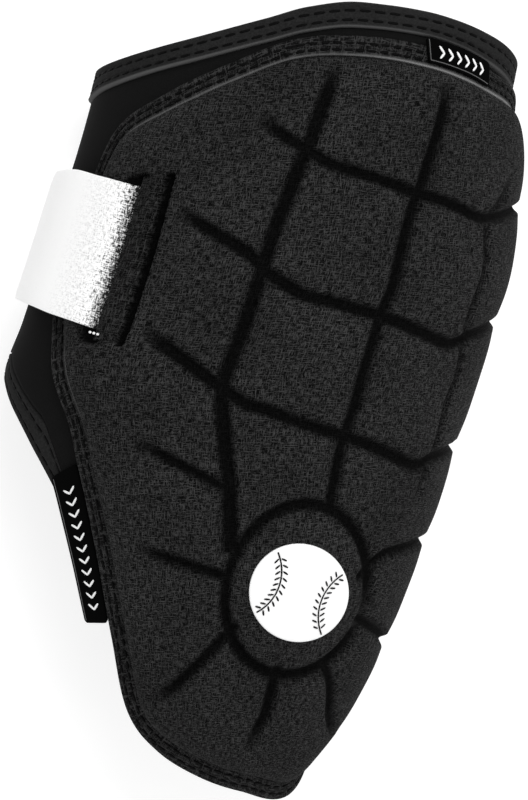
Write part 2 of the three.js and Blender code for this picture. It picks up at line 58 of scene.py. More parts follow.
# Sizes, in millimetres
GUARD_LENGTH = 224
GUARD_WIDTH = 148
SLEEVE_DEPTH = 80
CLEARANCE = 0.45
SLEEVE_WALL = 2.6
HEM_WIDTH = 7.4
HEM_WALL = 4.2
TOP_HEM_PROUD = 0.9
PAD_THICKNESS = 8
PAD_EDGE = 2.8
SHOULDER_WIDTH = 13
CAP_RISE = 1.2
CAP_LENGTH = 49.2
CAP_WIDTH = 39.4
BINDING_WIDTH = 5.8
BINDING_THICKNESS = 2.2
GROOVE_DEPTH = 2.6
PUFF = 0.24  # of a groove's depth, over which the blocks are rounded off
RUN_OUT = 9  # over which a groove fades
GOES_ON = 24  # beyond its last place, round the pad's side
STEEP = 2.6  # how square a groove's walls are
RING_HALF = 1.9  # half width of the cap's ring groove
RING_BELL = 5
SLOT_DEPTH = 3.6
HOLLOW_DEPTH = 3
CLOTH_PACE = 1.05  # millimetres taken for a degree of turn in the weave
STRAP_THICKNESS = 1.5
STRAP_WIDTH = 40
SLOT_WIDTH = 2.1
SLOT_LENGTH = 46.2
KEEPER_WIDTH = 5
KEEPER_HEIGHT = 1.8
TAB_LENGTH = 13
TAB_THICKNESS = 2
EMBLEM_RADIUS = 13.75
LABEL_THICKNESS = 0.8
SIDE_LABEL_LENGTH = 45
SIDE_LABEL_WIDTH = 12.4
SIDE_LABEL_SLANT = 4
HEM_LABEL_LENGTH = 24
HEM_LABEL_DROP = 7

# The tables give places on a front-view grid, 528 steps across and 800 rows down, as the part does.
ACROSS_STEP = GUARD_WIDTH / PHOTO_WIDE
ALONG_STEP = GUARD_LENGTH / PHOTO_HIGH
RISE_SHARE = 0.75
FLATNESS = 1.3
CORNER_EASE = 5

# Row, left side, right side and front as a share of the sleeve's depth
SECTIONS = np.array([
    (20, 110, 522, 0.97), (60, 101, 516, 0.985), (100, 91, 508, 1), (150, 77, 498, 1),
    (200, 61, 492, 1), (260, 42, 484, 1), (320, 22, 467, 1), (380, 3, 448, 1),
    (440, 12, 428, 0.99), (500, 27, 409, 0.96), (560, 43, 387, 0.91), (640, 64, 355, 0.81),
    (700, 82, 326, 0.71), (750, 100, 302, 0.6), (800, 114, 290, 0.46),
], float)
# Turn, row and hem width as a share, round the upper opening
TOP_EDGE = np.array([
    (-180, 86, 1), (-130, 80, 1.1), (-90, 68, 1.3), (-70, 60, 1.1), (-39, 40, 1), (-14, 18, 1),
    (-3, 7, 1.03), (9, 2, 1.03), (19, 5, 0.98), (33, 12, 0.96), (45, 21, 1), (62, 36, 1.15),
    (90, 60, 1.25), (130, 80, 1.1), (180, 86, 1),
], float)
# The same round the lower opening
LOW_EDGE = np.array([
    (-180, 428, 1), (-150, 420, 1), (-115, 390, 1.05), (-90, 382, 1.15), (-76, 414, 1.4),
    (-64, 461, 1.45), (-57, 502, 1.35), (-50, 565, 1.1), (-40, 625, 1), (-20, 655, 1),
    (16, 664, 1), (46, 645, 1), (66, 603, 1), (80, 553, 1), (94, 497, 1), (108, 448, 1),
    (124, 415, 1), (148, 415, 1), (180, 428, 1),
], float)
# Outline of the pad inside its binding: front-view places, and turn and row on the hidden side
PAD_LEFT_TOP = [
    (67, 345), (68, 300), (88, 232), (108, 173), (125, 141), (168, 114), (236, 84), (298, 62),
    (365, 60), (432, 71), (491, 94),
]
PAD_RIGHT_TURNS = [
    (80, 112), (95, 145), (102, 210), (104, 330), (103, 470), (100, 590), (95, 670), (86, 730),
]
PAD_BOTTOM_LEFT = [
    (291, 774), (250, 768), (209, 755), (166, 731), (144, 706), (128, 634), (112, 547), (96, 473),
    (84, 420), (71, 384),
]
PAD_CENTRE = (28, 380)
CAP_CENTRE = (297.5, 591)
CAP_LEAN = 0.34

# Grooves: half width, depth as a share, how each end runs out, and front-view places. An end fades,
# meets another groove, or goes on round the pad's side, where the view from the front shows a notch.
GROOVES = {
    "long_left": (2.3, 1, "fades", "meets", [
        (337, 62), (331, 84), (322, 109), (311, 140), (301, 163), (289, 194), (277, 224), (267, 253),
        (252, 302), (242, 332), (231, 361), (224, 381), (222, 403), (224, 428), (226, 454), (229, 479),
        (230, 504), (231, 548)]),
    "long_right": (2.1, 0.9, "fades", "meets", [
        (452, 78), (448, 101), (442, 126), (436, 146), (429, 167), (423, 187), (415, 207), (407, 236),
        (400, 265), (394, 290), (384, 312), (377, 336), (367, 369), (357, 406), (347, 435), (340, 462),
        (332, 505)]),
    "far_right": (1.7, 0.6, "fades", "fades", [
        (516, 168), (503, 202), (490, 219), (488, 268), (478, 299), (469, 327), (459, 378), (449, 403),
        (441, 437), (426, 477), (414, 504)]),
    "first": (1.8, 0.95, "fades", "goes on", [
        (257, 114), (267, 125), (281, 135), (298, 146), (308, 151), (321, 160), (345, 170), (373, 178),
        (399, 187), (415, 194), (437, 199), (463, 209), (484, 219), (500, 217), (517, 211)]),
    "second": (1.9, 1, "fades", "goes on", [
        (175, 208), (205, 228), (252, 257), (263, 270), (286, 285), (306, 297), (331, 302), (357, 310),
        (380, 316), (407, 326), (432, 337), (454, 346), (469, 338), (488, 330)]),
    "third": (1.9, 1, "fades", "goes on", [
        (143, 327), (162, 344), (182, 359), (202, 374), (217, 385), (232, 395), (247, 405), (269, 411),
        (298, 422), (323, 430), (345, 437), (365, 443), (390, 454), (410, 464), (421, 467), (432, 460),
        (451, 452)]),
    "fourth_left": (1.7, 0.9, "fades", "meets", [
        (130, 441), (151, 450), (177, 464), (202, 477), (227, 489)]),
    "fourth_right": (1.7, 0.9, "meets", "goes on", [
        (362, 577), (376, 563), (385, 556), (400, 551), (417, 546)]),
    "fifth": (1.7, 0.9, "fades", "meets", [(134, 548), (157, 556), (179, 563), (200, 570), (224, 577)]),
    "sixth": (1.6, 0.9, "meets", "goes on", [(360, 620), (371, 627), (382, 634)]),
    "seventh": (1.7, 0.9, "meets", "fades", [(234, 629), (214, 649), (196, 668), (179, 684), (154, 705)]),
    "eighth": (1.7, 0.9, "meets", "fades", [(278, 672), (271, 699), (266, 718), (257, 734), (247, 758)]),
    "ninth": (1.6, 0.85, "meets", "fades", [(323, 664), (332, 681), (333, 699), (332, 716), (335, 740)]),
}
# Turn, upper row, lower row and height as a share of the pad's thickness, from the back to the slot
STRAP_RUN = np.array([
    (-180, 166, 309, 0), (-150, 167, 308, 0), (-132, 169, 307, 0.04), (-110, 173, 304, 0.12),
    (-90, 177, 302, 0.25), (-75, 176, 305, 0.52), (-60, 176, 313, 0.9), (-48, 182, 323, 1.04),
    (-35, 191, 335, 1.06),
], float)
STRAP_END = -233
SLOT_TURN = -28
SLOT_MIDDLE = 263
SLOT_FLARE = 0.7
STRAP_TACK = [(92, 333), (103, 336)]
SIDE_LABEL_ROW = 462
HEM_LABEL_TURN = 31.5
HEM_LABEL_LEAN = 2


def column(table, key, at):
    """Smooth value of a table's column: cubic pieces, whose slope at a row is the harmonic mean of
    the chords beside it, or nothing at a peak, so that they never overshoot."""
    place, value = table[:, 0], table[:, key]
    chord = np.diff(value) / np.diff(place)
    before, after = chord[:-1], chord[1:]
    same = before * after > 0
    inner = np.where(same, 2 * before * after / np.where(same, before + after, 1), 0)
    slope = np.concatenate([chord[:1], inner, chord[-1:]])
    at = np.asarray(at, float)
    i = np.clip(np.searchsorted(place, at) - 1, 0, len(place) - 2)
    span = place[i + 1] - place[i]
    t = (at - place[i]) / span
    s = np.clip(t, 0, 1)
    inside = (1 + 2 * s) * (1 - s) ** 2 * value[i] + s * (1 - s) ** 2 * span * slope[i]
    inside += s * s * (3 - 2 * s) * value[i + 1] + s * s * (s - 1) * span * slope[i + 1]
    return inside + np.minimum(t, 0) * span * slope[i] + np.maximum(t - 1, 0) * span * slope[i + 1]


def along_of(row):
    """Place along the guard, from the tip, of a row counted from the top."""
    return (PHOTO_HIGH - np.asarray(row, float)) * ALONG_STEP


BACK_ROWS = np.array([
    (0, TOP_HEM_PROUD), (118, TOP_HEM_PROUD), (150, CLEARANCE + STRAP_THICKNESS),
    (326, CLEARANCE + STRAP_THICKNESS), (372, 0), (PHOTO_HIGH, 0),
], float)


def section_at(along):
    """Middle, half width, height of the middle, rise to the front and height of the back."""
    row = PHOTO_HIGH - np.asarray(along, float) / ALONG_STEP
    left = column(SECTIONS, 1, row) * ACROSS_STEP
    right = column(SECTIONS, 2, row) * ACROSS_STEP
    half = (right - left) / 2
    front = column(SECTIONS, 3, row) * SLEEVE_DEPTH
    rise = np.minimum(half * RISE_SHARE, front * 0.62)
    return left + half, half, front - rise, rise, column(BACK_ROWS, 1, row)


def skin(turn, along):
    """The sleeve's outer skin. In front it is half an ellipse: sine across, cosine up. Behind, the
    cosine goes deeper and is cut off flat, with an eased corner."""
    middle, half, height, rise, back = section_at(along)
    angle = np.radians(turn)
    up = np.cos(angle)
    low = height * (1 + FLATNESS * up)
    ease = np.maximum(CORNER_EASE - np.abs(low - back), 0) ** 2 / (4 * CORNER_EASE)
    z = np.where(up >= 0, height + rise * up, np.maximum(back, low) + ease)
    return np.stack(np.broadcast_arrays(middle + half * np.sin(angle), along, z), -1)


def unit(vectors):
    """The same directions with length one."""
    return vectors / np.linalg.norm(vectors, axis=-1, keepdims=True)


def normal_at(turn, along):
    """Unit normal of the skin: the cross product of its differences round and along."""
    round_it = skin(turn + 0.5, along) - skin(turn - 0.5, along)
    along_it = skin(turn, along + 0.5) - skin(turn, along - 0.5)
    return unit(np.cross(round_it, along_it))


def over_skin(turn, along, lift):
    """A point at a height over the skin, along its normal."""
    turn, along, lift = np.broadcast_arrays(np.asarray(turn, float), along, lift)
    return skin(turn, along) + normal_at(turn, along) * lift[..., None]


def lifted(p, lift):
    """The same for cloth places: rows of turn and along."""
    return over_skin(p[..., 0], p[..., 1], lift)


def pace(turn, along):
    """Millimetres of cloth for one degree of turn."""
    _, half, height, rise, _ = section_at(along)
    angle = np.radians(turn)
    deep = np.where(np.cos(angle) >= 0, rise, height * FLATNESS)
    return np.radians(np.hypot(half * np.cos(angle), deep * np.sin(angle)))


def places_of(points, lift):
    """Turn and along of front-view grid places: the arcsine of how far across the section they are."""
    across, row = np.array(points, float).T
    along = along_of(row)
    middle, half, _, _, _ = section_at(along)
    reach = (across * ACROSS_STEP - middle) / (half + lift)
    return np.stack([np.degrees(np.arcsin(np.clip(reach, -1, 1))), along], -1)


def face_places(points):
    """The same on the pad's face, which leans a place along the guard too: each round takes away what
    is still left of that."""
    wanted = np.array(points, float)
    aim = wanted.copy()
    for _ in range(5):
        place = places_of(aim, PAD_THICKNESS)
        seen = lifted(place, CLEARANCE + PAD_THICKNESS)
        aim[:, 0] += wanted[:, 0] - seen[:, 0] / ACROSS_STEP
        aim[:, 1] += wanted[:, 1] - (PHOTO_HIGH - seen[:, 1] / ALONG_STEP)
    return places_of(aim, PAD_THICKNESS)


def curve_through(points, closed=False, steps=24):
    """Centripetal Catmull-Rom curve: three rounds of weighted means between four points at a time."""
    p = np.asarray(points, float)
    if closed:
        q = np.vstack([p[-1:], p, p[:2]])
    else:
        q = np.vstack([2 * p[:1] - p[1:2], p, 2 * p[-1:] - p[-2:-1]])
    chords = np.linalg.norm(np.diff(q, axis=0), axis=1) ** 0.5
    knots = np.concatenate([[0], np.cumsum(chords)])[:, None]
    i = np.repeat(np.arange(len(q) - 3), steps)
    share = np.tile(np.arange(steps) / steps, len(q) - 3)[:, None]
    k = [knots[i + n] for n in range(4)]
    t = k[1] + share * (k[2] - k[1])

    def mean(first, second, low, high):
        """First at one knot and second at another, in proportion between them."""
        return ((k[high] - t) * first + (t - k[low]) * second) / (k[high] - k[low])

    a = [mean(q[i + n], q[i + n + 1], n, n + 1) for n in range(3)]
    curve = mean(mean(a[0], a[1], 0, 2), mean(a[1], a[2], 1, 3), 1, 2)
    return curve if closed else np.vstack([curve, p[-1:]])


def lengths(path):
    """How far along a path each of its points is."""
    return np.concatenate([[0], np.cumsum(np.linalg.norm(np.diff(path, axis=0), axis=1))])


def looked_up(at, far, rows):
    """Rows that belong to the lengths far, between them at other lengths."""
    return np.stack([np.interp(at, far, rows[:, k]) for k in range(rows.shape[1])], -1)


def evenly(path, count, closed=False):
    """The same path with points at even lengths."""
    p = np.vstack([path, path[:1]]) if closed else path
    far = lengths(p)
    return looked_up(np.linspace(0, far[-1], count, endpoint=not closed), far, p)


# The pad's outline in cloth coordinates, turn in degrees and place along, clockwise.
centre = np.array([PAD_CENTRE[0], along_of(PAD_CENTRE[1])])
hidden = np.array(PAD_RIGHT_TURNS, float)
hidden[:, 1] = along_of(hidden[:, 1])
seen_places = [places_of(side, PAD_EDGE) for side in (PAD_LEFT_TOP, PAD_BOTTOM_LEFT)]
edge_places = np.vstack([seen_places[0], hidden, seen_places[1]])
pad_edge = evenly(curve_through(edge_places, closed=True), 960, closed=True)


def widened(edge, by):
    """The outline moved outwards by real millimetres."""
    g = pace(edge[:, 0], edge[:, 1])
    ahead = np.roll(edge, -1, 0) - np.roll(edge, 1, 0)
    left = unit(np.stack([-ahead[:, 1], ahead[:, 0] * g], -1))
    return np.stack([edge[:, 0] + left[:, 0] / g * by, edge[:, 1] + left[:, 1] * by], -1)


away = pad_edge - centre
edge_angle = np.arctan2(away[:, 1], away[:, 0])
edge_reach = np.hypot(away[:, 0], away[:, 1])


def reach_at(angle):
    """Reach of the pad's outline from its centre in any direction."""
    return np.interp(angle, edge_angle, edge_reach, period=2 * math.pi)


def cap_view(p):
    """Where a cloth place is seen from the front, in millimetres across and along the elbow cap."""
    seen = lifted(p, CLEARANCE + PAD_THICKNESS)
    x = seen[..., 0] - CAP_CENTRE[0] * ACROSS_STEP
    y = seen[..., 1] - along_of(CAP_CENTRE[1])
    wide = x * math.cos(CAP_LEAN) - y * math.sin(CAP_LEAN)
    return wide, x * math.sin(CAP_LEAN) + y * math.cos(CAP_LEAN)


def cap_share(p):
    """How far out a cloth place is on the elbow cap: 1 on the ellipse of its ring groove."""
    wide, long = cap_view(p)
    return np.hypot(wide / (CAP_WIDTH / 2), long / (CAP_LENGTH / 2))


def cap_places(wide, long):
    """Cloth places of millimetres across and along the cap, as they are seen from the front."""
    x = wide * math.cos(CAP_LEAN) + long * math.sin(CAP_LEAN)
    y = long * math.cos(CAP_LEAN) - wide * math.sin(CAP_LEAN)
    points = np.stack([CAP_CENTRE[0] + x / ACROSS_STEP, CAP_CENTRE[1] - y / ALONG_STEP], -1)
    return face_places(points.reshape(-1, 2)).reshape(points.shape)


def face_lift(p):
    """The pad's face without grooves: a quarter circle up from the edge, and the cap's low dome."""
    away = p - centre
    inside = reach_at(np.arctan2(away[..., 1], away[..., 0])) - np.hypot(away[..., 0], away[..., 1])
    t = np.clip(inside / SHOULDER_WIDTH, 0, 1)
    shoulder = np.sqrt(1 - (1 - t) ** 2)
    dome = np.maximum(1 - cap_share(p) ** 2, 0)
    return CLEARANCE + PAD_EDGE + (PAD_THICKNESS - PAD_EDGE) * shoulder + CAP_RISE * dome


def distance_to(path, p):
    """Real distance from cloth places to a path, and how far along it the nearest point is."""
    g = pace(p[..., 0], p[..., 1])
    best = np.full(p.shape[:-1], 1e9)
    share = np.zeros(p.shape[:-1])
    for k in range(len(path) - 1):
        a, b = path[k], path[k + 1]
        ahead = np.stack([(b[0] - a[0]) * g, np.broadcast_to(b[1] - a[1], g.shape)], -1)
        off = np.stack([(p[..., 0] - a[0]) * g, p[..., 1] - a[1]], -1)
        t = np.clip((off * ahead).sum(-1) / (ahead * ahead).sum(-1), 0, 1)
        far = np.linalg.norm(off - ahead * t[..., None], axis=-1)
        nearer = far < best
        best = np.where(nearer, far, best)
        share = np.where(nearer, (k + t) / (len(path) - 1), share)
    return best, share


def groove_line(far, half, bell):
    """A groove's section by the distance from it: exp(-(distance / half width) to a power), beside
    which a wide low bell rounds the blocks off."""
    return np.maximum(np.exp(-(far / half) ** STEEP), PUFF * np.exp(-(far / bell) ** 2))


def pressed(p):
    """How deep the pressed lines are at cloth places. Where they cross the deepest one counts."""
    deep = np.zeros(p.shape[:-1])
    for half, depth, start, end, points in GROOVES.values():
        path = curve_through(face_places(points), steps=8)
        if end == "goes on":
            ahead = path[-1] - path[-5]
            path = np.vstack([path, path[-1] + ahead / np.linalg.norm(ahead) * GOES_ON])
        path = evenly(path, 2 * len(points) + 8)
        near = ((p > path.min(0) - 18) & (p < path.max(0) + 18)).all(-1)
        far, share = distance_to(path, p[near])
        length = np.linalg.norm(path[-1] - path[0])
        ends = np.clip(share * length / RUN_OUT, 0, 1) if start == "fades" else 1.0
        ends = ends * (np.clip((1 - share) * length / RUN_OUT, 0, 1) if end == "fades" else 1.0)
        line = groove_line(far, half, 2.9 * half)
        deep[near] = np.maximum(deep[near], GROOVE_DEPTH * depth * np.sqrt(ends) * line)
    wide, long = cap_view(p)
    ring = np.abs(cap_share(p) - 1) * (CAP_WIDTH + CAP_LENGTH) / 4
    faint = 1 - 0.45 * np.exp(-(np.arctan2(long, wide) / 0.35) ** 2)
    return np.maximum(deep, GROOVE_DEPTH * 0.95 * faint * groove_line(ring, RING_HALF, RING_BELL))


# Across the slot, the keeper and the start of the strap, as turns
STRAP_FADE = 18
KEEPER_RIGHT = SLOT_TURN - SLOT_FLARE * SLOT_WIDTH - CLEARANCE
KEEPER_LEFT = KEEPER_RIGHT - KEEPER_WIDTH
STRAP_START = KEEPER_LEFT - CLEARANCE
slot_along = along_of(SLOT_MIDDLE)


def slotted(p):
    """Depth of the slot's line or of the hollow that the strap's end dips into, the deeper one."""
    from_middle = np.abs(p[..., 1] - slot_along)
    past = np.maximum(from_middle - SLOT_LENGTH / 2, 0)
    line = SLOT_DEPTH * np.exp(-(np.hypot(p[..., 0] - SLOT_TURN, past) / 1.3) ** 6)
    past = np.maximum(from_middle - STRAP_WIDTH / 2 - 1, 0)
    off = p[..., 0] - STRAP_START
    hollow = HOLLOW_DEPTH * np.exp(-np.hypot(off / np.where(off > 0, 2.0, 5.5), past / 3) ** 4)
    return np.maximum(line, hollow)


def hem_spread(edge, turn, width, by=1):
    """A hem's width along the sleeve, longer where its edge is slanted over some degrees of turn."""
    return width * np.hypot(1, (edge(turn + by) - edge(turn - by)) / (2 * by))


def round_table(table, key, turn):
    """A value of an opening's table, at any turn."""
    return column(table, key, (np.asarray(turn, float) + 180) % 360 - 180)


def top_along(turn):
    """Edge of the upper opening."""
    return along_of(round_table(TOP_EDGE, 1, turn))


def low_along(turn):
    """Edge of the lower opening."""
    return along_of(round_table(LOW_EDGE, 1, turn))


def top_hem_low(turn, gap=0):
    """Where the top hem meets the sleeve."""
    width = HEM_WIDTH * round_table(TOP_EDGE, 2, turn)
    return top_along(turn) - hem_spread(top_along, turn, width + gap)


def low_hem_high(turn, gap=0):
    """Where the lower hem meets the sleeve."""
    width = HEM_WIDTH * round_table(LOW_EDGE, 2, turn)
    return low_along(turn) + hem_spread(low_along, turn, width + gap, 4)


def frame_shift():
    """From the guard's own places to the frame: the top hem's face at the model's own turns, set
    against the box of its node."""
    turns = -180 + 6.0 * np.arange(60)
    low, high = top_hem_low(turns), top_along(turns)
    ring = np.concatenate([over_skin(turns, low + s * (high - low), TOP_HEM_PROUD) for s in (0, 0.5, 1)])
    corner_low, corner_high = (np.array(c) * 1000 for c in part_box("sleeve_top_hem"))
    return np.array([corner_low[0] - ring[:, 0].min(), corner_high[1] - ring[:, 1].max(), 0])


SHIFT = frame_shift()


def to_frame(points):
    """Millimetres of the guard's own places to metres in the frame. Cloth that would dip below the
    surface it lies on is flattened there."""
    placed = (points + SHIFT) / 1000
    placed[..., 2] = np.maximum(placed[..., 2], 0)
    return placed


# Meshes

def grid_faces(rows, cols, round_cols=False, start=0):
    """Quads of a grid of vertices that are numbered row by row."""
    i, j = np.meshgrid(np.arange(rows - 1), np.arange(cols if round_cols else cols - 1), indexing="ij")
    i, j = i.ravel(), j.ravel()
    k = (j + 1) % cols
    return np.stack([i * cols + j, i * cols + k, (i + 1) * cols + k, (i + 1) * cols + j], -1) + start


def make_piece(name, points, faces, material, uv=None, **values):
    """A mesh object of closed surfaces. Its faces are turned outwards if they enclose less than nothing."""
    points = to_frame(points)
    faces = faces if isinstance(faces, list) else [faces]
    triangles = [f[:, [0, k, k + 1]] for f in faces for k in range(1, f.shape[1] - 1)]
    corners = points[np.concatenate(triangles)] - points.mean(0)
    inside = np.einsum("ij,ij->i", corners[:, 0], np.cross(corners[:, 1], corners[:, 2])).sum()
    if inside < 0:
        faces = [f[:, ::-1] for f in faces]
    mesh = bpy.data.meshes.new(name)
    mesh.vertices.add(len(points))
    mesh.vertices.foreach_set("co", points.ravel())
    counts = np.concatenate([np.full(len(f), f.shape[1]) for f in faces])
    loops = np.concatenate([f.ravel() for f in faces])
    mesh.loops.add(len(loops))
    mesh.loops.foreach_set("vertex_index", loops.astype(np.int32))
    mesh.polygons.add(len(counts))
    mesh.polygons.foreach_set("loop_start", (np.cumsum(counts) - counts).astype(np.int32))
    mesh.update(calc_edges=True)
    mesh.polygons.foreach_set("use_smooth", np.ones(len(counts), bool))
    if uv is not None:
        mesh.uv_layers.new(name="cloth").data.foreach_set("uv", uv[loops].astype(np.float32).ravel())
    for key, value in values.items():
        data = mesh.attributes.new(key, "FLOAT", "POINT").data
        data.foreach_set("value", value.astype(np.float32).ravel())
    mesh.materials.append(material)
    piece = bpy.data.objects.new(name, mesh)
    bpy.context.scene.collection.objects.link(piece)
    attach(piece, "root")
    return piece


def tube_faces(rings, around_count, closed):
    """Quads between rings of points, and a fan over each end of an open tube."""
    if closed:
        base = grid_faces(rings + 1, around_count, round_cols=True)
        return [base % (rings * around_count)]
    last = (rings - 1) * around_count
    j = np.arange(1, around_count - 1)
    fans = [np.stack([0 * j, j + 1, j], -1), np.stack([last + 0 * j, last + j, last + j + 1], -1)]
    return [grid_faces(rings, around_count, round_cols=True)] + fans


def blunted(x, power):
    """A sine or cosine to a power, with its sign kept."""
    return np.sign(x) * np.abs(x) ** power


def stitch_row(path, normal, pitch, length, thick):
    """Stitches along a path in space: each is a flattened ellipsoid laid along it."""
    far = lengths(path)
    count = max(int(far[-1] / pitch), 1)
    at = (np.arange(count) + 0.5) * far[-1] / count
    ahead = unit(looked_up(at + 0.3, far, path) - looked_up(at - 0.3, far, path))
    across = unit(np.cross(ahead, looked_up(at, far, normal)))
    slices, spokes = 6, 6
    lat = np.linspace(-math.pi / 2, math.pi / 2, slices + 1)[1:-1]
    lat, lon = np.meshgrid(lat, 2 * math.pi * np.arange(spokes) / spokes, indexing="ij")
    shape = [blunted(np.sin(lat), 0.7), np.cos(lat) * np.cos(lon), np.cos(lat) * np.sin(lon)]
    shape = np.vstack([[-1, 0, 0], np.stack(shape, -1).reshape(-1, 3), [1, 0, 0]])
    shape *= (length / 2, thick / 2, thick / 3)
    points = looked_up(at, far, path)[:, None]
    for k, side in enumerate((ahead, across, np.cross(across, ahead))):
        points = points + shape[:, k, None] * side[:, None]
    body = grid_faces(slices - 1, spokes, round_cols=True, start=1)
    j = np.arange(spokes)
    last = len(shape) - 1
    tips = np.vstack([
        np.stack([0 * j, 1 + (j + 1) % spokes, 1 + j], -1),
        np.stack([0 * j + last, last - spokes + j, last - spokes + (j + 1) % spokes], -1),
    ])
    offset = (np.arange(count) * len(shape))[:, None, None]
    quads = (body[None] + offset).reshape(-1, 4)
    triangles = (tips[None] + offset).reshape(-1, 3)
    return points.reshape(-1, 3), quads, triangles


def sewn(p, lift, pitch, length, thick):
    """A row of stitches along cloth places, at a height over the skin."""
    return stitch_row(lifted(p, lift), normal_at(p[:, 0], p[:, 1]), pitch, length, thick)


def make_stitches(name, rows, material):
    """Several rows of stitches as one piece."""
    points, quads, triangles = zip(*rows)
    start = np.cumsum([0] + [len(p) for p in points])
    faces = [np.vstack([f + first for f, first in zip(kind, start)]) for kind in (quads, triangles)]
    return make_piece(name, np.vstack(points), faces, material)


# Materials

def linear(hex_colour):
    """An sRGB hex colour as linear RGBA."""
    value = np.array([int(hex_colour[k:k + 2], 16) for k in (1, 3, 5)]) / 255
    rgb = np.where(value <= 0.04045, value / 12.92, ((value + 0.055) / 1.055) ** 2.4)
    return (*rgb.tolist(), 1.0)


def set_inputs(tree, made, inputs):
    """Sets sockets, by name or number, to values, or joins them to other nodes' outputs."""
    for key, value in inputs.items():
        if isinstance(value, bpy.types.NodeSocket):
            tree.links.new(value, made.inputs[key])
        else:
            made.inputs[key].default_value = value


def node(tree, kind, inputs, **settings):
    """Adds a node with its settings and its inputs."""
    made = tree.nodes.new(kind)
    for key, value in settings.items():
        setattr(made, key, value)
    set_inputs(tree, made, inputs)
    return made


def maths(tree, operation, *values, kind="ShaderNodeMath", **settings):
    """The result of a Math node."""
    return node(tree, kind, dict(enumerate(values)), operation=operation, **settings).outputs[0]


def vectors(tree, operation, *values):
    """The result of a Vector Math node."""
    return maths(tree, operation, *values, kind="ShaderNodeVectorMath")


def noise(tree, vector, scale, detail=2.0, roughness=0.5, output="Fac"):
    """A noise texture."""
    inputs = {"Vector": vector, "Scale": scale, "Detail": detail, "Roughness": roughness}
    return node(tree, "ShaderNodeTexNoise", inputs).outputs[output]


def blend(tree, factor, first, second, kind="MIX"):
    """One colour mixed into another."""
    inputs = {0: factor, 6: first, 7: second}
    return node(tree, "ShaderNodeMix", inputs, data_type="RGBA", blend_type=kind).outputs[2]


def cloth_value(tree, name):
    """A value that the mesh holds at each point."""
    return node(tree, "ShaderNodeAttribute", {}, attribute_name=name).outputs["Fac"]


def cloth_place(tree):
    """Place on the flat cloth, in metres."""
    return node(tree, "ShaderNodeUVMap", {}, uv_map="cloth").outputs["UV"]


def surface(tree, shader, colour, height, strength, distance, rough, specular):
    """Gives the shader its colour, its relief, and how it shines."""
    bump = node(tree, "ShaderNodeBump", {"Height": height, "Strength": strength, "Distance": distance})
    set_inputs(tree, shader, {
        "Base Color": colour, "Normal": bump.outputs["Normal"],
        "Roughness": rough, "Specular IOR Level": specular,
    })


def new_material(name):
    """A material with only its Principled BSDF."""
    material = bpy.data.materials.new(name)
    material.use_nodes = True
    return material, material.node_tree, material.node_tree.nodes["Principled BSDF"]


def ramp(tree, factor, stops):
    """A colour ramp through (place, hex colour) stops."""
    made = node(tree, "ShaderNodeValToRGB", {"Fac": factor})
    elements = made.color_ramp.elements
    while len(elements) < len(stops):
        elements.new(0.5)
    for element, (place, colour) in zip(elements, stops):
        element.position = place
        element.color = linear(colour)
    return made.outputs["Color"]


def threads(tree, vector, join, fine, slow, wander):
    """Crossing threads, joined by an operation: a noise stretched along each direction, both of them
    bent by a slower noise."""
    bend = noise(tree, vector, 160.0, output="Color")
    shift = vectors(tree, "SUBTRACT", bend, (0.5, 0.5, 0.5))
    bent = vectors(tree, "ADD", vector, vectors(tree, "MULTIPLY", shift, (wander, wander, wander)))
    sized = [vectors(tree, "MULTIPLY", bent, size) for size in ((fine, slow, 1.0), (slow, fine, 1.0))]
    return maths(tree, join, *(noise(tree, size, 1.0, roughness=0.6) for size in sized))


def woven_canvas(name, dark, light, deep, strength, pitch):
    """Plain-woven polyester canvas bonded on foam, or the binding's own weave. The eye sees the threads as
    a broken cross-hatch of lighter lines. The mesh's per-point value mixes in the deep colour:
    painted shade in the pad's grooves, slot and keeper, and a painted highlight on the binding's rim."""
    material, tree, shader = new_material(name)
    uv = cloth_place(tree)
    crossing = threads(tree, uv, "MAXIMUM", 1 / pitch, 0.13 / pitch, 0.00003)
    weave = maths(tree, "MULTIPLY_ADD", noise(tree, uv, 2600.0), 0.3, crossing)
    cloudy = ramp(tree, noise(tree, uv, 42.0, 3.0), [(0.3, "#d8d8d8"), (0.7, "#ffffff")])
    toned = blend(tree, 1.0, ramp(tree, weave, [(0.64, dark), (0.8, light)]), cloudy, "MULTIPLY")
    # Painted light: the mesh's per-point value mixes in the deep colour, painted shade on the pad and
    # keeper, a painted highlight on the binding.
    colour = blend(tree, cloth_value(tree, "pressed"), toned, linear(deep))
    surface(tree, shader, colour, weave, strength, 0.0004, 0.85, 0.05)
    return material


def stretch_knit(name, dark, light, grain_size, strength):
    """Smooth nylon jersey over thin rubber foam: matt, with a fine even grain."""
    material, tree, shader = new_material(name)
    place = node(tree, "ShaderNodeTexCoord", {}).outputs["Object"]
    grain = noise(tree, place, 1 / grain_size, 3.0)
    both = maths(tree, "MULTIPLY_ADD", noise(tree, place, 30.0), 0.35, grain)
    cloth = ramp(tree, both, [(0.45, dark), (0.9, light)])
    # Painted highlight: the mesh's rim value mixes in light grey, along the top hem's ridge.
    colour = blend(tree, cloth_value(tree, "rim"), cloth, linear("#6a6a6a"))
    surface(tree, shader, colour, grain, strength, 0.0002, 0.8, 0.03)
    return material


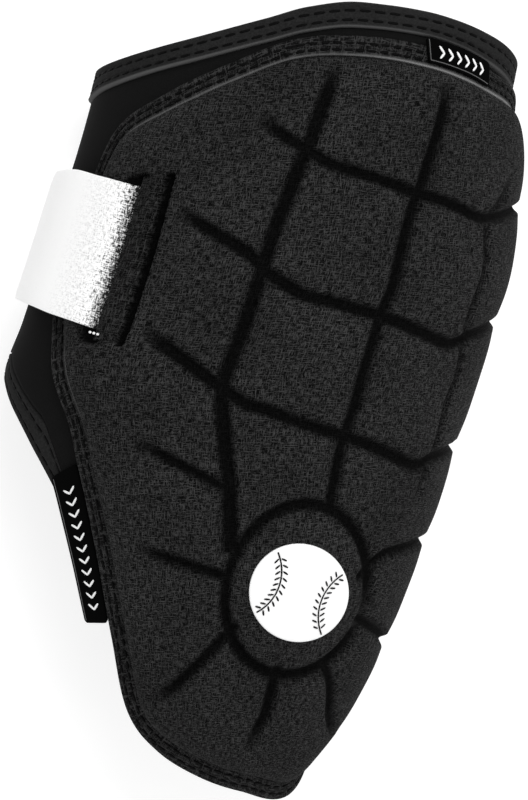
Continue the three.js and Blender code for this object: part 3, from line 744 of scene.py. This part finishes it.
def woven_elastic():
    """White woven elastic: rubber cores covered with polyester, fine ribs across and along. Towards
    its end at the slot it is painted grey, then black: painted shade where it dips under the keeper."""
    material, tree, shader = new_material("woven_elastic")
    ribs = threads(tree, cloth_place(tree), "ADD", 2900.0, 700.0, 0.0001)
    painted_end_shade = cloth_value(tree, "pressed")
    # Painted shade: towards the strap's end the ribs break to grey and then the whole goes black.
    raised = maths(tree, "MULTIPLY_ADD", ribs, 3.2, -3.0)
    broken = maths(tree, "MULTIPLY", raised, painted_end_shade, use_clamp=True)
    edge = maths(tree, "MULTIPLY_ADD", painted_end_shade, 6.0, -4.9)
    dark = maths(tree, "MULTIPLY_ADD", raised, 0.9, edge, use_clamp=True)
    white = blend(tree, broken, linear("#fcfcfc"), linear("#8c8c8c"))
    surface(tree, shader, blend(tree, dark, white, linear("#080808")), ribs, 0.35, 0.0003, 0.75, 0.2)
    return material


def plain_material(name, colour, rough, specular, grain=0.0006, strength=0.2):
    """A plain finish with a fine grain in its relief."""
    material, tree, shader = new_material(name)
    place = node(tree, "ShaderNodeTexCoord", {}).outputs["Object"]
    surface(tree, shader, linear(colour), noise(tree, place, 1 / grain), strength, 0.0001, rough, specular)
    return material


# 010101 is painted shade for the grooves, slot and keeper; the binding's #9a9a9a is a painted highlight
# along its inner rim.
canvas = woven_canvas("polyester_canvas_over_foam", "#050505", "#3f3f3f", "#010101", 1.0, 0.00029)
binding_cloth = woven_canvas("woven_edge_binding", "#0a0a0a", "#3c3c3c", "#9a9a9a", 0.9, 0.0004)
jersey = stretch_knit("nylon_jersey_on_rubber_foam", "#0e0e0e", "#151515", 0.0004, 0.15)
hem_cloth = stretch_knit("turned_nylon_jersey", "#171717", "#282828", 0.0005, 0.3)
elastic = woven_elastic()
thread = plain_material("bonded_polyester_thread", "#020202", 0.7, 0.08)
white_thread = plain_material("white_polyester_thread", "#f0f0f0", 0.7, 0.2)
satin = plain_material("woven_satin_label", "#040404", 0.8, 0.02, 0.0003, 0.25)
satin_line = plain_material("grey_label_thread", "#5a5a5a", 0.6, 0.1)
webbing = plain_material("polyester_webbing", "#161616", 0.8, 0.1, 0.0009, 0.8)
white_rubber = plain_material("moulded_white_rubber", "#f6f6f6", 0.5, 0.3, 0.0005, 0.1)
black_ink = plain_material("black_print", "#0a0a0a", 0.6, 0.1)


# The pad

PAD_CELLS = 300


def pad_places():
    """A square grid drawn into the outline: the square becomes a disc, the disc becomes the outline."""
    t = np.linspace(-1, 1, PAD_CELLS + 1)
    t = 1.12 * t - 0.12 * t ** 3
    u, v = np.meshgrid(t, t, indexing="ij")
    x = u * np.sqrt(1 - v * v / 2)
    y = v * np.sqrt(1 - u * u / 2)
    angle = np.arctan2(y, x)
    reach = np.hypot(x, y) * reach_at(angle)
    return np.stack([centre[0] + reach * np.cos(angle), centre[1] + reach * np.sin(angle)], -1)


def cloth_uv(p):
    """Cloth places as metres of flat cloth."""
    return np.stack([p[..., 0] * CLOTH_PACE, p[..., 1]], -1).reshape(-1, 2) / 1000


def border_numbers():
    """Vertex numbers round the border of the square grid, in order."""
    n = PAD_CELLS + 1
    k = np.arange(PAD_CELLS)
    return np.concatenate([k * n, PAD_CELLS * n + k, (n - k) * n - 1, PAD_CELLS - k])


def make_pad():
    """The pad's face is a fine grid with the pressed lines cut in. Its underside is a skirt and
    coarser rings, four fine edges to each coarse one."""
    p = pad_places()
    base = face_lift(p)
    deep = np.maximum(pressed(p), slotted(p))
    deep = np.minimum(deep, np.maximum(base - CLEARANCE - 1.2, 0))
    face = lifted(p, base - deep).reshape(-1, 3)
    # Painted shade: the canvas face is coloured darker in the grooves and the slot, the more the deeper
    # they are.
    dark = np.clip((deep / GROOVE_DEPTH - 0.2) / 0.6, 0, 1) * 0.92
    border = border_numbers()
    rim = p.reshape(-1, 2)[border]
    count = len(border) // 4
    shares = np.concatenate([[0.985], np.linspace(0.94, 0.06, 12)])
    under = centre + (rim[None, ::4] - centre) * shares[:, None, None]
    low = np.concatenate([rim, under.reshape(-1, 2), centre[None]])
    points = np.concatenate([face, lifted(low, CLEARANCE)])
    start = len(face)
    j = np.arange(len(border))
    k = (j + 1) % len(border)
    skirt = np.stack([border[j], border[k], start + k, start + j], -1)
    first = start + len(border)
    group = j // 4
    fans = np.stack([start + j, start + k, first + group], -1)
    g = np.arange(count)
    joins = np.stack([start + (4 * g + 4) % len(border), first + (g + 1) % count, first + g], -1)
    rings = grid_faces(len(shares), count, round_cols=True, start=first)
    last = first + (len(shares) - 1) * count
    middle = np.stack([last + g, last + (g + 1) % count, 0 * g + first + len(shares) * count], -1)
    quads = np.concatenate([grid_faces(PAD_CELLS + 1, PAD_CELLS + 1)[:, ::-1], skirt[:, ::-1], rings])
    triangles = np.concatenate([fans[:, ::-1], joins[:, ::-1], middle])
    uv = np.concatenate([cloth_uv(p), cloth_uv(low)])
    shade = np.concatenate([dark.ravel(), np.zeros(len(low))])
    piece = make_piece("pad_cover", points, [quads, triangles], canvas, uv, pressed=shade)
    piece.data.materials.append(jersey)
    below = np.ones(len(piece.data.polygons), np.int32)
    below[:PAD_CELLS ** 2 + len(border)] = 0
    piece.data.polygons.foreach_set("material_index", below)
    return piece


def profile_rings(profile, place_at):
    """Rings of points: a closed profile of (share across, lift) rows set at every step of a path."""
    share, lift = np.array(profile, float).T
    return place_at(share[None, :], lift[None, :]).reshape(-1, 3)


def band_profile(thick, rounding, furrows, ridge=0.0, ridge_at=0.07, samples=34):
    """Closed profile of a sewn band: a round-cornered top with a furrow under each stitch row and a
    ridge beside one edge, and a flat underside. Rows are the share across and the height."""
    t = np.linspace(0, 1, samples)
    t = (1 - np.cos(math.pi * t)) / 2
    edge = np.minimum(t, 1 - t) / rounding
    top = thick * (1 - 0.55 * (1 - np.clip(edge, 0, 1)) ** 2.2)
    for at, deep in furrows:
        top -= deep * np.exp(-((t - at) / 0.05) ** 2)
    top += ridge * np.exp(-((t - ridge_at) / 0.05) ** 2)
    under = np.linspace(1, 0, 7)
    return np.concatenate([np.stack([t, top], -1), np.stack([under, 0 * under], -1)])


BINDING_ROWS = (0.32, 0.64)
RIM_LIGHT_ROW = 200  # above which the binding's inner rim gets a painted highlight
RIM_FAINT_ROW = 440  # the same, fainter, on the left
RIM_FADE = 18


def make_binding():
    """The binding's profile carried round the pad between its edge and the same edge moved outwards."""
    edge = evenly(pad_edge, 800, closed=True)
    inner = widened(edge, CLEARANCE * 0.3)
    outer = widened(edge, CLEARANCE + BINDING_WIDTH)
    profile = band_profile(BINDING_THICKNESS, 0.2, [(s, 0.35) for s in BINDING_ROWS], 0.45)

    def place(share, lift):
        return lifted(inner[:, None] + (outer - inner)[:, None] * share[..., None], CLEARANCE + lift)

    points = profile_rings(profile, place)
    share = np.tile(profile[:, 0], (len(edge), 1))
    uv = np.stack(np.broadcast_arrays(lengths(edge)[:, None], share * BINDING_WIDTH), -1)
    turn, along = edge.T
    # Painted highlight: a light grey line is mixed into the binding's colour along its inner rim, strongest
    # at the top and right, where the light falls.
    top = np.clip((along - along_of(RIM_LIGHT_ROW)) / RIM_FADE, 0, 1) * np.clip((turn + 5) / 40, 0.35, 1)
    left = 0.4 * (turn < 0) * np.clip((along - along_of(RIM_FAINT_ROW)) / RIM_FADE, 0, 1)
    top = np.maximum(top, left)
    light = top[:, None] * np.exp(-((share - 0.07) / 0.085) ** 2) * (profile[:, 1] > 0)
    binding = make_piece(
        "pad_binding_band", points, tube_faces(len(edge), len(profile), True), binding_cloth,
        uv.reshape(-1, 2) / 1000, pressed=(0.8 * light).ravel(),
    )
    rows = []
    for s in BINDING_ROWS:
        q = inner + (outer - inner) * s
        rows.append(sewn(np.vstack([q, q[:1]]), CLEARANCE + BINDING_THICKNESS - 0.1, 3.4, 2.4, 0.85))
    return binding, make_stitches("pad_binding_stitches", rows, thread)


# Sleeve and hems

def make_sleeve():
    """The sleeve is its skin between the hems, and the same skin moved inwards by the wall."""
    rows, cols = 70, 360
    turn = -180 + 360 * np.arange(cols) / cols
    low = low_hem_high(turn, CLEARANCE * 0.3)
    high = top_hem_low(turn, CLEARANCE * 0.3)
    along = low + (high - low) * np.linspace(0, 1, rows)[:, None]
    outer, inner = (over_skin(turn, along, lift) for lift in (0.0, -SLEEVE_WALL))
    points = np.concatenate([outer, inner[::-1]]).reshape(-1, 3)
    return make_piece("sleeve_cloth", points, tube_faces(2 * rows, cols, True), jersey)


HEM_ROWS = (0.3, 0.65)
LOWER_HEM_ROWS = (0.3, 0.74)


def make_hem(name, low, high, proud, light_at, light_by, stitches):
    """A hem's profile carried round an opening, between its free edge and the sleeve. The ridge at
    its inner rim is at light_at, and gets a painted highlight, stronger in front, of light_by."""
    cols = 480
    turn = -180 + 360 * np.arange(cols) / cols
    start, end = low(turn), high(turn)
    profile = band_profile(HEM_WALL, 0.13, [(s, 0.4) for s in stitches], 0.25, light_at)

    def place(share, lift):
        along = start[:, None] + (end - start)[:, None] * share
        return over_skin(turn[:, None], along, proud - HEM_WALL + lift)

    points = profile_rings(profile, place)
    share = np.tile(profile[:, 0], (cols, 1))
    # Painted highlight along the hem's ridge, strongest in front and gone round the back, mixed into the
    # colour by the rim value.
    front = np.clip(np.cos(np.radians(turn)) * 3 + 1.6, 0, 1)[:, None]
    light = front * np.exp(-((share - light_at + 0.02) / 0.045) ** 2) * (profile[:, 1] > 0)
    faces = tube_faces(cols, len(profile), True)
    hem = make_piece(name + "_band", points, faces, hem_cloth, rim=light_by * light.ravel())
    rows = []
    closed = np.concatenate([turn, [180.0]])
    for s in stitches:
        along = low(closed) + (high(closed) - low(closed)) * s
        rows.append(sewn(np.stack([closed, along], -1), proud - 0.22, 4.3, 3.2, 0.85))
    return hem, make_stitches(name + "_stitches", rows, thread)


# Strap, keeper and tab

def strap_along(turn, share):
    """Place along the guard of a share of the strap's width, from its middle."""
    at = np.maximum(turn, -180)
    upper, lower = along_of(column(STRAP_RUN, 1, at)), along_of(column(STRAP_RUN, 2, at))
    return (upper + lower) / 2 + share * (upper - lower)


def strap_lift(turn):
    """Height of the strap's inner face over the skin. At the slot its end dips under the keeper."""
    raised = CLEARANCE + column(STRAP_RUN, 3, np.maximum(turn, -180)) * PAD_THICKNESS
    return raised - 2.6 * np.exp(-((turn - STRAP_START) / 4.2) ** 2)


def strap_profile(thick, samples=44):
    """Closed flat-oval profile: rows are the share from the middle, -0.5 to 0.5, and the height."""
    a = 2 * math.pi * np.arange(samples * 2) / (samples * 2)
    wide, tall = blunted(np.cos(a), 0.35) / 2, blunted(np.sin(a), 0.35) / 2
    return np.stack([wide, (tall + 0.5) * thick], -1)


def make_band(name, start, end, thick, material, rings):
    """A strap's profile carried round the sleeve."""
    turn = np.linspace(start, end, rings)
    profile = strap_profile(thick)

    def place(share, lift):
        t = turn[:, None]
        return over_skin(t, strap_along(t, share), strap_lift(t) + lift)

    points = profile_rings(profile, place)
    share = np.tile(profile[:, 0], (rings, 1))
    uv = np.stack(np.broadcast_arrays(turn[:, None], share * STRAP_WIDTH), -1)
    # Painted shade: over STRAP_FADE degrees before its end the strap is painted darker, down to black,
    # where it dips under the keeper.
    fade = np.clip(1 - (STRAP_START - turn) / STRAP_FADE, 0, 1)
    shade = np.broadcast_to(fade[:, None], share.shape)
    faces = tube_faces(rings, len(profile), False)
    return make_piece(name, points, faces, material, uv.reshape(-1, 2) / 1000, pressed=shade)


def make_keeper():
    """The lip beside the slot: a low half-round bar whose height falls to nothing at its ends."""
    rings, samples = 120, 20
    t = np.linspace(-0.5, 0.5, rings)
    a = np.linspace(0, math.pi, samples)
    across = KEEPER_LEFT + KEEPER_WIDTH * (1 - np.cos(a)) / 2
    tall = KEEPER_HEIGHT * np.abs(np.sin(a)) ** 0.8
    fall = np.sin(np.clip((0.5 - np.abs(t)) / 0.16, 0, 1) * math.pi / 2)
    q = np.stack(np.broadcast_arrays(across[None], slot_along + t[:, None] * SLOT_LENGTH), -1)
    under = q[:, ::-1]
    top = lifted(q, face_lift(q) + tall[None] * fall[:, None] + 0.1)
    points = np.concatenate([top, lifted(under, face_lift(under) - 0.6)], 1).reshape(-1, 3)
    uv = np.concatenate([q, under], 1).reshape(-1, 2) / 1000
    faces = tube_faces(rings, samples * 2, False)
    # Painted shade: the keeper's canvas is mixed a quarter of the way to the near-black deep colour.
    return make_piece("keeper_lip", points, faces, canvas, uv, pressed=np.full(len(uv), 0.25))


# Emblem and labels

def make_emblem():
    """A round plate with a soft rim, and on it two bowed seams with short slanting stitches."""
    spokes = 120
    share, height = np.array([
        (0.02, 0.1), (0.5, 0.1), (0.96, 0.1), (1.0, 0.35), (0.99, 0.65), (0.96, 0.8), (0.9, 0.86),
        (0.7, 0.9), (0.4, 0.93), (0.15, 0.95), (0.02, 0.95),
    ]).T
    a = 2 * math.pi * np.arange(spokes) / spokes
    reach = EMBLEM_RADIUS * share[:, None]
    q = cap_places(reach * np.cos(a), reach * np.sin(a))
    points = lifted(q, face_lift(q) + height[:, None]).reshape(-1, 3)
    plate = make_piece("emblem_plate", points, tube_faces(len(share), spokes, False), white_rubber)
    rows = []
    for side in (-1, 1):
        a = np.linspace(-0.98, 0.98, 160)
        bow = np.stack([side * (1.42 - 0.98 * np.cos(a)), 0.98 * np.sin(a)], -1) * EMBLEM_RADIUS
        bow = bow[np.hypot(bow[:, 0], bow[:, 1]) < EMBLEM_RADIUS * 0.94]
        rows.append(emblem_line(bow, 0.55, 0.9, 0.5))
        legs = evenly(bow, 12)[1:-1]
        ahead = unit(np.gradient(legs, axis=0))
        out = np.stack([-ahead[:, 1], ahead[:, 0]], -1)
        for lean in (-1, 1):
            for leg, o, f in zip(legs, out * lean, ahead):
                rows.append(emblem_line(np.stack([leg + o * 0.3, leg + o * 1.8 + f * side]), 9, 1.8, 0.55))
    return plate, make_stitches("emblem_seams", rows, black_ink)


def emblem_line(line, pitch, length, thick):
    """Raised strokes along a line of places on the emblem, in millimetres from its middle."""
    line = evenly(line, 8) if len(line) < 8 else line
    q = cap_places(line[:, 0], line[:, 1])
    return sewn(q, face_lift(q) + 1.0, pitch, length, thick)


def plate_piece(name, place_at, rows):
    """A label over a surface given by two shares: a thin round-cornered sheet with a closed rim."""
    cols = 24
    t = np.linspace(0, 1, rows)[:, None]
    a = math.pi * np.arange(cols * 2) / cols
    s, h = (blunted(np.cos(a), 0.3) + 1) / 2, (blunted(np.sin(a), 0.3) + 1) / 2 * LABEL_THICKNESS
    ends = np.minimum(t, 1 - t) * (rows - 1) / 3
    pull = 1 - 0.5 * np.clip(1 - ends, 0, 1) ** 2 * 0.35
    points = place_at(t, 0.5 + (s - 0.5) * pull, h)
    return make_piece(name, points.reshape(-1, 3), tube_faces(rows, cols * 2, False), satin)


side_edge = widened(pad_edge, 2 * CLEARANCE + BINDING_WIDTH)
side_from = along_of(SIDE_LABEL_ROW)
past_start = side_from - side_edge[:, 1]
side_line = side_edge[(side_edge[:, 0] < 0) & (past_start >= 0) & (past_start <= SIDE_LABEL_LENGTH)]
side_line = side_line[np.argsort(-side_line[:, 1])]


def side_label_at(t, s, h):
    """Along the binding's outer edge by the first share, outwards from it by the second."""
    y = side_line[0, 1] + t * (side_line[-1, 1] - side_line[0, 1])
    x = np.interp(-y, -side_line[:, 1], side_line[:, 0])
    return over_skin(x - s * SIDE_LABEL_WIDTH, y - s * (1 - t) * SIDE_LABEL_SLANT, CLEARANCE + 0.25 + h)


def hem_label_at(t, s, h):
    """Along the top hem by the first share, down from it by the second."""
    turn = HEM_LABEL_TURN + t * HEM_LABEL_LENGTH
    along = top_hem_low(turn) - CLEARANCE - s * HEM_LABEL_DROP
    return over_skin(turn + s * HEM_LABEL_LEAN, along, 2 * CLEARANCE + BINDING_THICKNESS + h)


def on_label(place_at, shares, count):
    """A line on a label's face through (first share, second share) points, and the way up from it."""
    t, s = evenly(np.array(shares, float), count).T
    path = place_at(t, s, LABEL_THICKNESS)
    return path, place_at(t, s, LABEL_THICKNESS + 1) - path


def label_line(name, place_at, shares):
    """A thin raised thread line on a label."""
    path, up = on_label(place_at, shares, 60)
    return make_stitches(name, [stitch_row(path, up, 0.35, 0.5, 0.3)], satin_line)


def label_marks(name, place_at, count, first, last, low, high):
    """A row of plain chevrons on a label, from one share of its length to another."""
    rows = []
    step = (last - first) / count
    for k in range(count):
        at = first + (k + 0.3) * step
        for side in (low, high):
            path, up = on_label(place_at, [(at, side), (at + 0.45 * step, (low + high) / 2)], 6)
            length = np.linalg.norm(path[-1] - path[0]) + 0.5
            rows.append(stitch_row(path, up, 2 * length, length, 0.75))
    return make_stitches(name, rows, white_thread)


def make_strap_tack():
    """Three short white stitches on the pad below the strap's corner."""
    q = evenly(face_places(STRAP_TACK), 12)
    row = sewn(q, face_lift(q) + KEEPER_HEIGHT, 1.15, 0.9, 0.75)
    return make_stitches("strap_tack_stitches", [row], white_thread)


# Build

pad = make_pad()
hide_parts("pad")

binding, binding_stitches = make_binding()
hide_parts("pad_binding")

sleeve = make_sleeve()
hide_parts("sleeve")

top_hem, top_stitches = make_hem(
    "sleeve_top_hem", top_hem_low, top_along, TOP_HEM_PROUD, 0.08, 0.75, HEM_ROWS)
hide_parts("sleeve_top_hem")
low_hem, low_stitches = make_hem(
    "sleeve_lower_hem", low_along, low_hem_high, 0, 0.94, 0.0, LOWER_HEM_ROWS)
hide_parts("sleeve_lower_hem")

strap = make_band("elastic_strap", STRAP_START, STRAP_END, STRAP_THICKNESS, elastic, 420)
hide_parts("strap")
tab_start = STRAP_END - CLEARANCE
tab = make_band("strap_end_tab", tab_start, tab_start - TAB_LENGTH, TAB_THICKNESS, webbing, 30)
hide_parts("strap_tab")
make_strap_tack()
keeper = make_keeper()
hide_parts("strap_keeper")

emblem, emblem_seams = make_emblem()
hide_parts("emblem")

side_label = plate_piece("side_label_tape", side_label_at, 120)
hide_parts("side_label")
hem_label = plate_piece("hem_label_tape", hem_label_at, 80)
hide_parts("hem_label")
side_border = label_line("side_label_line", side_label_at, [(0.02, 0.9), (0.98, 0.9)])
hem_border = label_line("hem_label_line", hem_label_at, [(0.03, 0.05), (0.03, 0.88), (0.97, 0.88)])
side_marks = label_marks("side_label_chevrons", side_label_at, 11, 0.1, 0.93, 0.25, 0.62)
hem_marks = label_marks("hem_label_chevrons", hem_label_at, 6, 0.13, 0.9, 0.25, 0.7)


# Floor, light and camera

def make_floor():
    """A pale sheet under the guard."""
    half = 3.0
    mesh = bpy.data.meshes.new("floor")
    corners = [(-half, -half, 0), (half, -half, 0), (half, half, 0), (-half, half, 0)]
    mesh.from_pydata(corners, [], [(0, 1, 2, 3)])
    material, tree, shader = new_material("pale_floor")
    set_inputs(tree, shader, {
        "Base Color": linear("#b8b8b8"), "Roughness": 0.9,
        "Emission Color": (1, 1, 1, 1), "Emission Strength": 0.68,
    })
    mesh.materials.append(material)
    floor = bpy.data.objects.new("floor", mesh)
    bpy.context.scene.collection.objects.link(floor)


def add_light(name, place, size, power):
    """A square soft light that looks at the guard's middle."""
    data = bpy.data.lights.new(name, "AREA")
    data.shape = "SQUARE"
    data.size = size
    data.energy = power
    lamp = bpy.data.objects.new(name, data)
    lamp.location = place
    away = unit(np.array(place) - (0, 0, 0.05))
    lamp.rotation_euler = (math.acos(away[2]), 0, math.atan2(away[1], away[0]) + math.pi / 2)
    bpy.context.scene.collection.objects.link(lamp)


make_floor()
world = bpy.data.worlds.new("studio")
world.use_nodes = True
background = world.node_tree.nodes["Background"]
set_inputs(world.node_tree, background, {"Color": (1, 1, 1, 1), "Strength": 0.58})
bpy.context.scene.world = world
bpy.context.scene.view_settings.view_transform = "Standard"
add_light("key_from_above", (0.5, 0.8, 1.7), 1.0, 21)
add_light("fill_from_below", (0.1, -1.0, 1.5), 1.6, 7)

camera_data = bpy.data.cameras.new("camera")
camera_data.lens = LENS_MM
camera_data.sensor_width = SENSOR_MM
camera_data.clip_end = 100
camera = bpy.data.objects.new("camera", camera_data)
bpy.context.scene.collection.objects.link(camera)
middle_x = (GUARD_WIDTH / 2 + SHIFT[0]) / 1000
middle_y = (GUARD_LENGTH / 2 + SHIFT[1]) / 1000
camera_height = TRUE_SIZE_HEIGHT + GUARD_LENGTH / 1000 * LENS_MM / SENSOR_MM
camera.location = (middle_x, middle_y, camera_height)
bpy.context.scene.camera = camera

bpy.context.view_layer.update()
